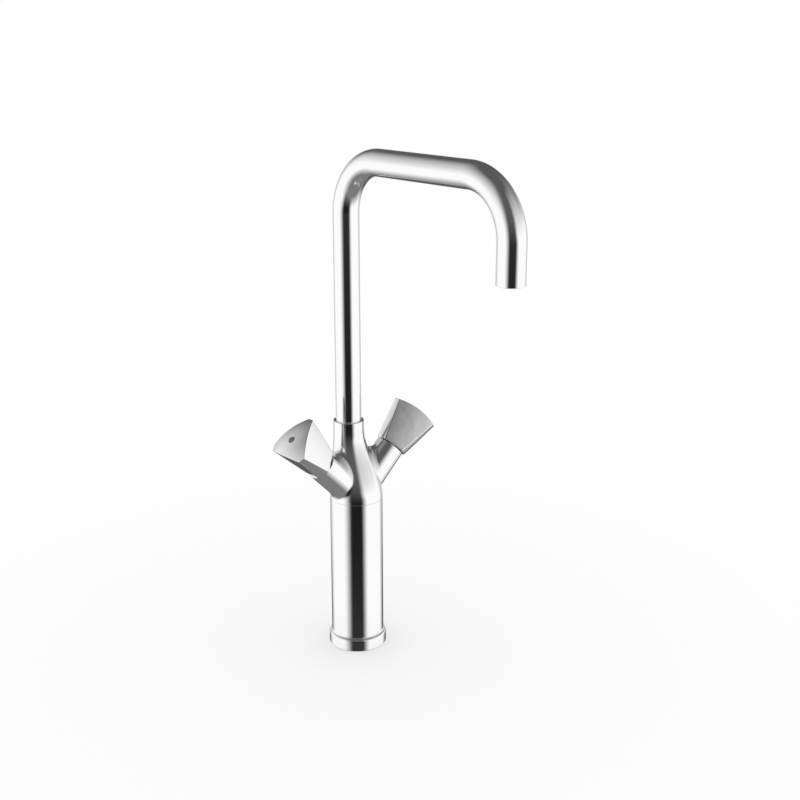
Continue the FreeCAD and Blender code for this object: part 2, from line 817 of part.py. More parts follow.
def build_aerator():
    """The aerator's body with its grid of jets, the slotted screen on it and the seal above both."""
    radius = z.bush_bore - z.fit_gap
    foot = outlet_level() + z.bush_recess + z.loose_gap
    lip = outlet_level() + z.bush_recess + z.bush_height - z.bush_lip_height

    body = new_body("aerator_body")
    sketch = new_sketch(body, "aerator_outline", "XY_Plane", lift=foot)
    draw_circle(sketch, 0, 0, radius)
    draw_circle(sketch, 0, 0, z.jet_radius)
    pad(body, "aerator", sketch, z.aerator_height)
    for ring, jets in JET_RINGS:
        sketch = new_sketch(body, f"jet_outline_{ring}", "XY_Plane", lift=foot)
        draw_circle(sketch, z.jet_pitch * ring, 0, z.jet_radius)
        jet = pocket(body, f"jet_{ring}", sketch, z.aerator_height, reverse=True)
        copy_round(body, f"jets_{ring}", [jet], jets)
    seat_on_outlet_axis(body)

    body = new_body("aerator_screen")
    level = foot + z.aerator_height
    sketch = new_sketch(body, "screen_outline", "XY_Plane", lift=level)
    draw_circle(sketch, 0, 0, radius - z.fit_gap)
    pad(body, "screen", sketch, z.screen_height)
    reach = radius - z.aerator_rim
    half = z.screen_slot / 2
    for index, number in enumerate(SCREEN_SLOTS):
        sketch = new_sketch(body, f"slot_outline_{index}", "XY_Plane", lift=level)
        middle = z.screen_pitch * number
        far_edge = z.screen_pitch * abs(number) + half
        length = root(reach * reach - far_edge * far_edge)
        corners = (
            (-length, middle - half),
            (length, middle - half),
            (length, middle + half),
            (-length, middle + half),
        )
        draw_outline(sketch, corners)
        pocket(body, f"slot_{index}", sketch, z.screen_height, reverse=True)
    seat_on_outlet_axis(body)

    body = new_body("aerator_seal")
    base = level + z.screen_height
    corners = (
        (z.bush_lip_bore, base),
        (radius, base),
        (radius, lip),
        (z.bush_lip_bore, lip),
    )
    turn_profile(body, "seal", corners)
    seat_on_outlet_axis(body)


def chamber_roof():
    """The roof of a headpart's disc chamber along the arm axis."""
    return z.seat_length + z.chamber_length


def spindle_ring_level():
    """The middle of the spindle's O-ring along the arm axis."""
    return chamber_roof() + z.spindle_ring_place


def build_headpart(name, side):
    """A valve headpart: nose with outlet windows, thread, hexagon and throat, all bored for the spindle."""
    body = new_body(f"{name}_headpart")
    foot = z.seat_length + z.nose_clearance
    thread_start = z.seat_length + z.nose_length
    hexagon_top = z.arm_length + z.hexagon_height
    throat_top = hexagon_top + z.throat_height
    spindle_bore = z.spindle_radius + z.running_gap
    thread = z.valve_bore_radius - z.fit_gap
    corners = (
        (z.cartridge_radius, foot),
        (z.nose_radius, foot),
        (z.nose_radius, thread_start),
        (thread, thread_start),
        (thread, z.arm_length),
        (z.throat_radius, z.arm_length),
        (z.throat_radius, throat_top),
        (spindle_bore, throat_top),
        (spindle_bore, chamber_roof()),
        (z.cartridge_radius, chamber_roof()),
    )
    turn_profile(body, "barrel", corners)
    sketch = new_sketch(body, "hexagon_outline", "XY_Plane", lift=z.arm_length)
    draw_hexagon(sketch, z.hexagon_flats / 2)
    draw_circle(sketch, 0, 0, spindle_bore)
    pad(body, "hexagon", sketch, z.hexagon_height)
    sketch = new_sketch(body, "window_outline", "YZ_Plane")
    low = z.seat_length + z.seal_height + z.disc_height
    corners = (
        (-z.window_width / 2, low),
        (z.window_width / 2, low),
        (z.window_width / 2, low + z.window_height),
        (-z.window_width / 2, low + z.window_height),
    )
    draw_outline(sketch, corners)
    pocket(body, "windows", sketch, (z.nose_radius + OVERRUN) * 2, both_ways=True)
    seat_on_arm(body, side)


def build_seat_seal(name, side):
    """The rubber ring between the valve seat and the fixed disc."""
    body = new_body(f"{name}_seat_seal")
    top = z.seat_length + z.seal_height
    corners = (
        (z.seal_bore, z.seat_length),
        (z.disc_radius, z.seat_length),
        (z.disc_radius, top),
        (z.seal_bore, top),
    )
    turn_profile(body, "seal", corners)
    seat_on_arm(body, side)


def build_fixed_disc(name, side):
    """The ceramic disc that stands still, with two ports."""
    body = new_body(f"{name}_fixed_disc")
    sketch = new_sketch(body, "disc_outline", "XY_Plane", lift=z.seat_length + z.seal_height)
    draw_circle(sketch, 0, 0, z.disc_radius)
    for way in (-1, 1):
        draw_circle(sketch, z.disc_port_offset * way, 0, z.disc_port_radius)
    pad(body, "disc", sketch, z.disc_height)
    seat_on_arm(body, side)


def build_moving_disc(name, side):
    """The ceramic disc that the spindle turns, notched on two sides to open the ports."""
    body = new_body(f"{name}_moving_disc")
    level = z.seat_length + z.seal_height + z.disc_height
    sketch = new_sketch(body, "disc_outline", "XY_Plane", lift=level)
    draw_circle(sketch, 0, 0, z.disc_radius)
    pad(body, "disc", sketch, z.disc_height)
    notch_start = z.disc_port_offset - z.disc_port_radius
    for number, way in enumerate((-1, 1)):
        sketch = new_sketch(body, f"notch_outline_{number}", "XY_Plane", lift=level)
        half = z.disc_port_radius + z.loose_gap
        corners = (
            (-half, notch_start * way),
            (half, notch_start * way),
            (half, (z.disc_radius + OVERRUN) * way),
            (-half, (z.disc_radius + OVERRUN) * way),
        )
        draw_outline(sketch, corners)
        pocket(body, f"notch_{number}", sketch, z.disc_height, reverse=True)
    seat_on_arm(body, side)


def handle_rim():
    """The handle's rim along the arm axis."""
    return z.arm_length + z.handle_gap


def skirt_roof():
    """The roof of the bore in the handle's rim, where the spline starts to grip."""
    return handle_rim() + z.skirt_depth


def clip_level():
    """The lower face of the circlip along the arm axis."""
    return z.arm_length + z.hexagon_height + z.throat_height + z.loose_gap


def build_spindle(name, side):
    """The valve spindle: driving flange, O-ring groove, circlip groove, spline and tapped end."""
    body = new_body(f"{name}_spindle")
    disc_top = z.seat_length + z.seal_height + z.disc_height * 2
    flange_top = disc_top + z.spindle_flange_height
    ring_root = ring_groove_root(z.spindle_radius + z.running_gap, z.spindle_ring_section)
    half_ring = z.spindle_ring_section + z.ring_side_gap
    clip_root = z.spindle_radius - z.clip_groove
    tip = skirt_roof() + z.spline_length
    screw_end = tip + z.screw_web - z.screw_length - z.loose_gap
    thread = z.screw_radius + z.fit_gap
    corners = (
        (0, disc_top),
        (z.disc_radius, disc_top),
        (z.disc_radius, flange_top),
        (z.spindle_radius, flange_top),
        (z.spindle_radius, spindle_ring_level() - half_ring),
        (ring_root, spindle_ring_level() - half_ring),
        (ring_root, spindle_ring_level() + half_ring),
        (z.spindle_radius, spindle_ring_level() + half_ring),
        (z.spindle_radius, clip_level()),
        (clip_root, clip_level()),
        (clip_root, clip_level() + z.clip_height),
        (z.spline_radius, clip_level() + z.clip_height),
        (z.spline_radius, tip),
        (thread, tip),
        (thread, screw_end),
        (0, screw_end),
    )
    turn_profile(body, "shaft", corners)
    sketch = new_sketch(body, "tooth_gap_outline", "XY_Plane", lift=tip)
    corners = (
        (z.spline_radius - z.spline_depth, 0),
        (z.spline_radius + z.spline_depth, z.spline_width),
        (z.spline_radius + z.spline_depth, -z.spline_width),
    )
    draw_outline(sketch, corners)
    gap = pocket(body, "tooth_gap", sketch, z.spline_length)
    copy_round(body, "spline", [gap], z.spline_count)
    seat_on_arm(body, side)


def build_spindle_ring(name, side):
    """The O-ring round the spindle."""
    body = new_body(f"{name}_spindle_o_ring")
    bore = z.spindle_radius + z.running_gap
    middle = bore - z.seal_gap - z.spindle_ring_section
    ring_of_rubber(body, "o_ring", middle, z.spindle_ring_section, spindle_ring_level())
    seat_on_arm(body, side)


def build_circlip(name, side):
    """The open ring that keeps the spindle in its headpart."""
    body = new_body(f"{name}_circlip")
    sketch = new_sketch(body, "clip_outline", "XY_Plane", lift=clip_level())
    draw_circle(sketch, 0, 0, z.clip_radius)
    draw_circle(sketch, 0, 0, z.spindle_radius - z.clip_groove + z.fit_gap)
    pad(body, "clip", sketch, z.clip_height)
    sketch = new_sketch(body, "opening_outline", "XY_Plane", lift=clip_level())
    corners = (
        (0, -z.clip_opening / 2),
        (z.clip_radius + OVERRUN, -z.clip_opening / 2),
        (z.clip_radius + OVERRUN, z.clip_opening / 2),
        (0, z.clip_opening / 2),
    )
    draw_outline(sketch, corners)
    pocket(body, "opening", sketch, z.clip_height, reverse=True)
    seat_on_arm(body, side)


def handle_corners_level():
    """The corners of the handle's end face along the arm axis."""
    return handle_rim() + z.handle_length


def crown_level():
    """The middle of the domed end face along the arm axis."""
    return handle_corners_level() + z.handle_crown


def build_handle(name, side):
    """A three-sided handle: a flaring cone with a domed end, cut by three sloping flats."""
    body = new_body(f"{name}_handle")
    tip = skirt_roof() + z.spline_length
    head_seat = tip + z.screw_web
    well = z.cap_radius + z.fit_gap
    end_radius = z.handle_end_radius
    dome_radius = (end_radius * end_radius + z.handle_crown * z.handle_crown) / (z.handle_crown * 2)
    dome_centre = crown_level() - dome_radius
    well_mouth = dome_centre + root(dome_radius * dome_radius - well * well)
    grip = z.spline_radius + z.fit_gap
    corners = (
        (z.skirt_radius, handle_rim()),
        (z.handle_rim_radius, handle_rim()),
        (end_radius, handle_corners_level()),
        (well, well_mouth),
        (well, head_seat),
        (z.screw_radius + z.fit_gap, head_seat),
        (z.screw_radius + z.fit_gap, tip),
        (grip, tip),
        (grip, skirt_roof()),
        (z.skirt_radius, skirt_roof()),
    )
    turn_profile(body, "cone", corners, {2: ("x", 0, 1)})
    sketch = new_sketch(body, "flat_outline", "XZ_Plane")
    slope = (z.flat_at_end - z.flat_at_rim) / z.handle_length
    across = end_radius * 2
    low = handle_rim() - OVERRUN
    high = crown_level() + OVERRUN
    corners = (
        ((z.flat_at_rim + slope * (low - handle_rim())) * side, low),
        (across * side, low),
        (across * side, high),
        ((z.flat_at_rim + slope * (high - handle_rim())) * side, high),
    )
    draw_outline(sketch, corners)
    flat = pocket(body, "flat", sketch, across, both_ways=True)
    copy_round(body, "flats", [flat], z.flat_count)
    round_edges(body, "ridges", z.handle_edge, is_handle_ridge)
    seat_on_arm(body, side)


def is_handle_ridge(edge):
    """Whether an edge of the handle lies outside its bores."""
    out_from_axis = [math.hypot(v.Point.x, v.Point.y) for v in edge.Vertexes]
    outside = min(out_from_axis) > z.flat_at_rim.value - CLOSE
    return outside and edge.BoundBox.ZMax > handle_rim().value + CLOSE


def build_index_cap(name, side):
    """The small domed cap over the handle's screw."""
    body = new_body(f"{name}_index_cap")
    top = crown_level() + z.cap_proud
    edge_level = crown_level() - z.cap_proud
    corners = (
        (0, top - z.cap_height),
        (z.cap_radius, top - z.cap_height),
        (z.cap_radius, edge_level),
        (0, top),
    )
    turn_profile(body, "cap", corners, {2: ("x", 0, 1)})
    seat_on_arm(body, side)


def build_handle_screw(name, side):
    """The screw that holds the handle on the spindle."""
    body = new_body(f"{name}_handle_screw")
    head_seat = skirt_roof() + z.spline_length + z.screw_web
    top = head_seat + z.screw_head_height
    corners = (
        (0, head_seat - z.screw_length),
        (z.screw_radius, head_seat - z.screw_length),
        (z.screw_radius, head_seat),
        (z.screw_head_radius, head_seat),
        (z.screw_head_radius, top),
        (0, top),
    )
    turn_profile(body, "screw", corners)
    sketch = new_sketch(body, "key_outline", "XY_Plane", lift=top)
    draw_hexagon(sketch, z.screw_socket)
    pocket(body, "key", sketch, z.screw_socket_depth)
    seat_on_arm(body, side)


def check_model():
    """Stops if an object failed or a sub-part is empty, open or more than one solid."""
    for item in doc.Objects:
        if "Invalid" in item.State or "Error" in item.State:
            raise ValueError(f"{item.Label} failed: {item.State}")
    for body in subparts:
        shape = body.Shape
        if shape.isNull() or not shape.isValid() or len(shape.Solids) != 1:
            raise ValueError(f"{body.Label} is not one valid solid")


def write_steps():
    """Writes each sub-part to its own file."""
    os.makedirs(FOLDER, exist_ok=True)
    for body in subparts:
        body.Shape.exportStep(os.path.join(FOLDER, f"{body.Label}.step"))


def main():
    build_column_tube()
    build_base_ring()
    build_base_gasket()
    build_base_insert()
    build_mixer_body()
    build_lock_screw()
    build_spout_tube()
    build_spout_spigot()
    build_spout_rings()
    build_slide_ring()
    build_outlet_bush()
    build_aerator()
    for name, side in (("hot", HOT), ("cold", COLD)):
        build_headpart(name, side)
        build_seat_seal(name, side)
        build_fixed_disc(name, side)
        build_moving_disc(name, side)
        build_spindle(name, side)
        build_spindle_ring(name, side)
        build_circlip(name, side)
        build_handle(name, side)
        build_index_cap(name, side)
        build_handle_screw(name, side)
    doc.recompute()
    check_model()
    write_steps()


main()
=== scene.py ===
"""Dresses the basin mixer tap: smooth chrome pieces, finishes for every piece, floor, light and camera."""

import math

import bmesh
import bpy
from mathutils import Matrix, Vector


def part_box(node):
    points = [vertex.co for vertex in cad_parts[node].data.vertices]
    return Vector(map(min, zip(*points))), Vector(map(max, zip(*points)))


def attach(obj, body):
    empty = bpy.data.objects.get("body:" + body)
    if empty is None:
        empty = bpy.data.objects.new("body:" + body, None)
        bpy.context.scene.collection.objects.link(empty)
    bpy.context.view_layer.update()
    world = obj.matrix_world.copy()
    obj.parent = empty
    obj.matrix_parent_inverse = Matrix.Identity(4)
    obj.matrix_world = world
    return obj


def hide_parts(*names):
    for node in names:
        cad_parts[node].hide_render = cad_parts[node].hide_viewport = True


bl_info = {
    "name": "Basin mixer tap",
    "version": (1, 0, 0),
    "blender": (4, 5, 0),
    "location": "3D View > Sidebar > Mixer Tap",
    "description": "Smooth chrome pieces, finishes, floor, light and camera for the basin mixer tap",
    "category": "Object",
}

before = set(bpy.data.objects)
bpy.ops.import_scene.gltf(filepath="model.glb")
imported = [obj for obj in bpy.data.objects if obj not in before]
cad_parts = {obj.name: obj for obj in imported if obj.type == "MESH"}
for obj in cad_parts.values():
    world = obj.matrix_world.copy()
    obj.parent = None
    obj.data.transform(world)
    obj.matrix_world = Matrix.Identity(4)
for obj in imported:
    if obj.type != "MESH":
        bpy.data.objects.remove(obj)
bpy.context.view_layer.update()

# Steps that the round shapes are divided into
TURN_STEPS = 256
FOOT_EDGE_STEPS = 4
FLARE_STEPS = 14
PIPE_STEPS = 160
BEND_STEPS = 71
CUT_EDGE_STEPS = 3

# Columns of points on a handle, from a flat's middle over its soft edge to the middle of a ridge
HANDLE_SIDES = 3
FLAT_STEPS = 16
SOFT_STEPS = 8
RIDGE_STEPS = 6
# How far the close columns reach to both sides of a flat's edge, in ridge roundings
SOFT_REACH = 1.4

# Rows of points along a handle
WALL_STEPS = 14
CORNER_STEPS = 5
DOME_STEPS = 14
# How far the middle of a rounded edge lies inside its corner, as a share of the rounding
EDGE_MIDDLE = 0.3

# Rounds after which a repeated calculation no longer changes
BOW_ROUNDS = 6
CORNER_ROUNDS = 12

# Tilt of the arms from upright, in degrees
ARM_TILT = 45
# An edge stays sharp where the surface turns by more degrees than this
CREASE = 30
PIPE_CREASE = 40
# The tube's cut ends are rounded where the surface turns by more degrees than this
CUT_ANGLE = 60

# How much large faces outweigh small ones in the shading, from 1 to 100
FACE_WEIGHT = 100

# Corners of the spout's path, which are inputs of its Geometry Nodes
PATH_CORNERS = ("Foot", "Rear corner", "Front corner", "Outlet")

# Noise of the finishes: levels of detail, and how much finer the relief is than the colour
TONE_DETAIL = 4.0
RELIEF_DETAIL = 2.0
WAVE_DETAIL = 1.0
RELIEF_RATIO = 9

# The floor in metres. It fades into the white background, already partly so under the tap
FLOOR_RADIUS = 6
FLOOR_STEPS = 96
FADE_START = 0.05
FADE_END = 0.8
FADE_AT_TAP = 0.4
WHITE = (1, 1, 1, 1)

# The studio by directions in degrees. Azimuth is 0 towards the camera, 180 away from it and positive on
# the picture's right. Elevation is 0 at the horizon. Each pair is where a part begins and where it is full
TOWARDS_CAMERA = (-0.6437, -0.7653)
# Grey floor
FLOOR_EDGE = (-38, -48)
# Pale band low behind the tap, the same on both sides
BAND_SIDES = (124, 160)
BAND_TOP = (20, 5)
BAND_FOOT = (-27, -19)
# Black card round the camera, darker downwards
CARD_SIDES = (33, 22)
CARD_TOP = (28, -20)
CARD_FOOT = (-40, -23)
# One large white screen at each side, fading out upwards and downwards
LEFT_NEAR = (-16, -58)
LEFT_FAR = (-162, -115)
RIGHT_NEAR = (17, 46)
RIGHT_FAR = (156, 117)
SCREEN_TOP = (67, 1)
SCREEN_FOOT = (-54, -27)
# The right screen starts further round in its lower part
SHIFT = 7
SHIFT_HEIGHTS = (8, -12)
# The right screen is fainter high up towards the rear
FAINTER = 0.7
FAINT_SIDES = (80, 125)
FAINT_HEIGHTS = (3, 32)

# The photograph's camera: focal length in pixels of the picture, place and reach of view in metres
PICTURE_WIDTH = 800
FOCAL_LENGTH = 1216.40
SENSOR_WIDTH = 36
CAMERA_PLACE = (-0.66156, -0.85080, 0.57512)
CAMERA_RIGHT = (0.76527, -0.64371, 0.0)
CAMERA_BACK = (-0.61548, -0.73171, 0.29289)
NEAREST = 0.01
FARTHEST = 50


def node_low(node):
    """Lowest corner of a CAD node."""
    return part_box(node)[0]


def node_high(node):
    """Highest corner of a CAD node."""
    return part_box(node)[1]


# Properties


def length(name, description, default):
    """A length in metres that the user may change."""
    return bpy.props.FloatProperty(
        name=name,
        description=description,
        default=default,
        min=0.0,
        precision=5,
        subtype="DISTANCE",
        unit="LENGTH",
    )


def share(name, description, default):
    """A number from 0 to 1."""
    return bpy.props.FloatProperty(
        name=name, description=description, default=default, min=0.0, max=1.0, subtype="FACTOR"
    )


def tint(name, description, default):
    """A linear colour."""
    return bpy.props.FloatVectorProperty(
        name=name, description=description, default=default, size=3, min=0.0, max=1.0, subtype="COLOR"
    )


class TapSizes(bpy.types.PropertyGroup):
    """Sizes of the pieces that are made here"""

    column_radius: length("Column radius", "Outside of the column tube", node_high("column_tube").x)
    column_wall: length("Column wall", "Wall of the column tube", 0.002)
    column_low: length("Column foot", "Lower end of the column above the deck", node_low("column_tube").z)
    column_high: length("Column joint", "Joint between column and casting", node_high("column_tube").z)
    joint_edge: length("Joint edge", "Broken edge at the joint between column and casting", 0.0003)
    foot_radius: length("Foot radius", "Outside of the foot ring", node_high("base_ring").x)
    foot_wall: length("Foot wall", "Upright wall of the foot ring", 0.0095)
    foot_high: length("Foot top", "Top of the foot ring's flare", node_high("base_ring").z)
    foot_edge: length("Foot edge", "Rounding under the foot ring", 0.0006)
    foot_clearance: length("Foot clearance", "Play between the foot ring and what it holds", 0.00005)
    gasket_inner: length("Gasket groove inside", "Inner wall of the gasket's groove", 0.02455)
    gasket_outer: length("Gasket groove outside", "Outer wall of the gasket's groove", 0.02645)
    spout_radius: length("Spout radius", "Outside of the spout tube", node_high("spout_tube").x)
    spout_wall: length("Spout wall", "Wall of the spout tube", 0.001)
    spout_bend: length("Spout bend", "Radius of both bends along the tube's middle", 0.048)
    spout_back: length("Spout axis", "Column axis back to the spout's axis", 0.0105)
    spout_low: length("Spout foot", "Lower end of the spout tube", node_low("spout_tube").z)
    spout_edge: length("Spout edge", "Rounding of the tube's cut ends", 0.00025)
    outlet_lip: length("Outlet lip", "How far the tube ends below the aerator", 0.0013)
    arms_meet: length("Arms meet", "Height at which both arm axes meet", node_high("column_tube").z)
    handle_rim: length("Handle rim", "Where the arms meet to the handle's rim, along the arm", 0.0585)
    rim_radius: length("Rim radius", "Handle's cone at its rim", 0.016)
    end_radius: length("End radius", "Handle's cone at its end", 0.0256)
    handle_length: length("Handle length", "Rim to the corners of the end face", 0.0388)
    handle_dome: length("Dome", "Height of the domed end face", 0.0055)
    flat_at_rim: length("Flat at the rim", "Handle's axis to a flat at the rim", 0.0126)
    flat_at_end: length("Flat at the end", "Handle's axis to a flat at the end", 0.016)
    flat_bow: length("Bow of the flats", "Radius of the slight bow that polishing leaves across a flat", 0.3)
    ridge_soft: length("Ridge rounding", "How much the handle's ridges are rounded off", 0.00045)
    handle_edge: length("Handle edge", "Rounding of the handle's edges at its rim and its end face", 0.0005)
    skirt_radius: length("Skirt bore", "Radius of the bore in the handle's rim", 0.0106)
    skirt_depth: length("Skirt depth", "Depth of the bore in the handle's rim", 0.008)
    grip_radius: length("Grip bore", "Bore that grips the spindle", 0.00405)
    grip_length: length("Grip length", "Length of the bore that grips the spindle", 0.017)
    screw_radius: length("Screw hole", "Hole for the handle's screw", 0.00205)
    screw_web: length("Screw web", "Metal between the grip bore and the screw's head", 0.003)
    well_radius: length("Cap well", "Well for the index cap", 0.00325)


class TapFinishes(bpy.types.PropertyGroup):
    """Colours and roughness of the finishes"""

    chrome_tint: tint("Chrome", "Colour of the polished chrome", (0.97, 0.97, 0.972))
    handle_tint: tint("Handle chrome", "Colour of the handles' satin chrome", (0.985, 0.985, 0.987))
    steel_tint: tint("Stainless steel", "Colour of screws, clips and screen", (0.62, 0.61, 0.6))
    brass_tint: tint("Brass", "Colour of the turned brass", (0.78, 0.57, 0.27))
    rubber_tint: tint("Rubber", "Colour of seals and gasket", (0.025, 0.025, 0.026))
    ceramic_tint: tint("Ceramic", "Colour of the valve discs", (0.88, 0.87, 0.84))
    acetal_tint: tint("Acetal", "Colour of slide ring and aerator", (0.82, 0.83, 0.84))
    index_tint: tint("Index cap", "Colour of the small caps in the handles", (0.11, 0.11, 0.113))
    chrome_roughness: share("Chrome roughness", "Roughness of the polished chrome", 0.09)
    handle_roughness: share("Handle roughness", "Roughness of the handles' satin chrome", 0.2)


class TapStudio(bpy.types.PropertyGroup):
    """Lightness of the studio's parts"""

    soft_light: share("Soft light", "Strength of the light from all round", 1.0)
    room_tone: share("Room", "Lightness of the studio's walls and ceiling in the chrome", 0.094)
    floor_tone: share("Reflected floor", "Lightness of the floor in the chrome", 0.2)
    back_tone: share("Pale band", "Lightness of the pale band low behind the tap in the chrome", 0.65)
    card_tone: share("Black card", "Lightness of the card round the camera in the chrome", 0.012)
    floor_white: share("Floor", "Lightness of the floor", 0.96)


# Meshes


def closed_piece(name, mesh, body, replaced):
    """A finished piece that rides on a body in place of CAD nodes."""
    piece = bpy.data.objects.new(name, mesh)
    bpy.context.scene.collection.objects.link(piece)
    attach(piece, body)
    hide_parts(*replaced)


def looped_mesh(name, rows, place):
    """A mesh of equal closed rows of points, the last row joined to the first."""
    shape = bmesh.new()
    made = [[shape.verts.new(point) for point in row] for row in rows]
    for number, row in enumerate(made):
        beside = made[(number + 1) % len(made)]
        for k in range(len(row)):
            j = (k + 1) % len(row)
            shape.faces.new((row[k], beside[k], beside[j], row[j]))
    bmesh.ops.recalc_face_normals(shape, faces=shape.faces)
    bmesh.ops.transform(shape, matrix=place, verts=shape.verts)
    mesh = bpy.data.meshes.new(name)
    shape.to_mesh(mesh)
    shape.free()
    return mesh


def turned_mesh(name, outline):
    """A closed outline of (radius, height) points turned about Z."""
    rows = []
    for step in range(TURN_STEPS):
        turn = 2 * math.pi * step / TURN_STEPS
        rows.append([(r * math.cos(turn), r * math.sin(turn), h) for r, h in outline])
    return looped_mesh(name, rows, Matrix.Identity(4))


def shade_even(mesh, material, crease):
    """Smooth shading that keeps large faces true, with sharp edges over the crease angle."""
    mesh.materials.clear()
    mesh.materials.append(material)
    for face in mesh.polygons:
        face.use_smooth = True
        face.material_index = 0
    mesh.set_sharp_from_angle(angle=math.radians(crease))
    holder = bpy.data.objects.new(mesh.name, mesh)
    bpy.context.scene.collection.objects.link(holder)
    weighting = holder.modifiers.new("even", "WEIGHTED_NORMAL")
    weighting.keep_sharp = True
    weighting.weight = FACE_WEIGHT
    graph = bpy.context.evaluated_depsgraph_get()
    made = bpy.data.meshes.new_from_object(
        holder.evaluated_get(graph), preserve_all_data_layers=True, depsgraph=graph
    )
    made.name = mesh.name
    bpy.data.objects.remove(holder)
    return made


def arc(centre, radius, start, end, steps):
    """Points on an arc of an outline, angles in degrees."""
    points = []
    for step in range(steps + 1):
        turn = math.radians(start + (end - start) * step / steps)
        points.append((centre[0] + radius * math.cos(turn), centre[1] + radius * math.sin(turn)))
    return points


def between(one, other, part):
    """The point a part of the way from one point to another."""
    return [a + (b - a) * part for a, b in zip(one, other)]


def bent_tube_tree():
    """Geometry Nodes: four corners, rounded into a path, with a round tube swept along it."""
    tree = bpy.data.node_groups.new("bent_tube", "GeometryNodeTree")
    face = tree.interface
    face.new_socket("Geometry", in_out="INPUT", socket_type="NodeSocketGeometry")
    for name in PATH_CORNERS:
        face.new_socket(name, in_out="INPUT", socket_type="NodeSocketVector")
    for name in ("Tube radius", "Bend radius"):
        face.new_socket(name, in_out="INPUT", socket_type="NodeSocketFloat")
    face.new_socket("Finish", in_out="INPUT", socket_type="NodeSocketMaterial")
    face.new_socket("Geometry", in_out="OUTPUT", socket_type="NodeSocketGeometry")
    nodes, links = tree.nodes, tree.links
    given = nodes.new("NodeGroupInput")
    line = nodes.new("GeometryNodeMeshLine")
    line.inputs["Count"].default_value = len(PATH_CORNERS)
    path = nodes.new("GeometryNodeMeshToCurve")
    links.new(line.outputs["Mesh"], path.inputs["Mesh"])
    choice = nodes.new("GeometryNodeIndexSwitch")
    choice.data_type = "VECTOR"
    while len(choice.index_switch_items) < len(PATH_CORNERS):
        choice.index_switch_items.new()
    which = nodes.new("GeometryNodeInputIndex")
    links.new(which.outputs["Index"], choice.inputs["Index"])
    for number, name in enumerate(PATH_CORNERS):
        links.new(given.outputs[name], choice.inputs[number + 1])
    place = nodes.new("GeometryNodeSetPosition")
    links.new(path.outputs["Curve"], place.inputs["Geometry"])
    links.new(choice.outputs["Output"], place.inputs["Position"])
    bend = nodes.new("GeometryNodeFilletCurve")
    bend.mode = "POLY"
    bend.inputs["Count"].default_value = BEND_STEPS
    links.new(place.outputs["Geometry"], bend.inputs["Curve"])
    links.new(given.outputs["Bend radius"], bend.inputs["Radius"])
    ring = nodes.new("GeometryNodeCurvePrimitiveCircle")
    ring.inputs["Resolution"].default_value = PIPE_STEPS
    links.new(given.outputs["Tube radius"], ring.inputs["Radius"])
    sweep = nodes.new("GeometryNodeCurveToMesh")
    links.new(bend.outputs["Curve"], sweep.inputs["Curve"])
    links.new(ring.outputs["Curve"], sweep.inputs["Profile Curve"])
    whole = nodes.new("GeometryNodeRealizeInstances")
    links.new(sweep.outputs["Mesh"], whole.inputs["Geometry"])
    finish = nodes.new("GeometryNodeSetMaterial")
    links.new(whole.outputs["Geometry"], finish.inputs["Geometry"])
    links.new(given.outputs["Finish"], finish.inputs["Material"])
    result = nodes.new("NodeGroupOutput")
    links.new(finish.outputs["Geometry"], result.inputs["Geometry"])
    return tree


def handle_section(sizes, along):
    """Radius of a handle's cone and distance of its flats, 0 at the rim to 1 at the corners."""
    cone = sizes.rim_radius + (sizes.end_radius - sizes.rim_radius) * along
    flat = sizes.flat_at_rim + (sizes.flat_at_end - sizes.flat_at_rim) * along
    return cone, flat


def bowed(sizes, flat, aside):
    """Distance of a bowed flat from the handle's axis, at a distance aside from the flat's middle."""
    return flat - aside**2 / 2 / sizes.flat_bow


def handle_angles(sizes, along):
    """Angles of one third of a handle's outline, from a flat's middle, close together at both its edges."""
    cone, flat = handle_section(sizes, along)
    ridge = math.acos(flat / cone)
    for _ in range(BOW_ROUNDS):
        ridge = math.acos(bowed(sizes, flat, cone * math.sin(ridge)) / cone)
    soft = SOFT_REACH * sizes.ridge_soft / (cone * math.tan(ridge))
    rest = math.pi / HANDLE_SIDES - ridge - soft
    half = [(ridge - soft) * k / FLAT_STEPS for k in range(FLAT_STEPS)]
    half += [ridge - soft + 2 * soft * k / SOFT_STEPS for k in range(SOFT_STEPS)]
    half += [ridge + soft + rest * k / RIDGE_STEPS for k in range(RIDGE_STEPS + 1)]
    return [-turn for turn in half[:0:-1]] + half[:-1]


def handle_radius(sizes, turn, along):
    """Handle's outside at an angle from a flat's middle, 0 at the rim to 1 at the corners."""
    cone, flat = handle_section(sizes, along)
    radius = flat / math.cos(turn)
    for _ in range(BOW_ROUNDS):
        radius = bowed(sizes, flat, radius * math.sin(turn)) / math.cos(turn)
    # The smaller of cone and flat, with a soft change from one to the other
    soft = sizes.ridge_soft
    share_of_cone = min(1, max(0, 0.5 + 0.5 * (radius - cone) / soft))
    mixed = radius + (cone - radius) * share_of_cone
    return mixed - soft * share_of_cone * (1 - share_of_cone)


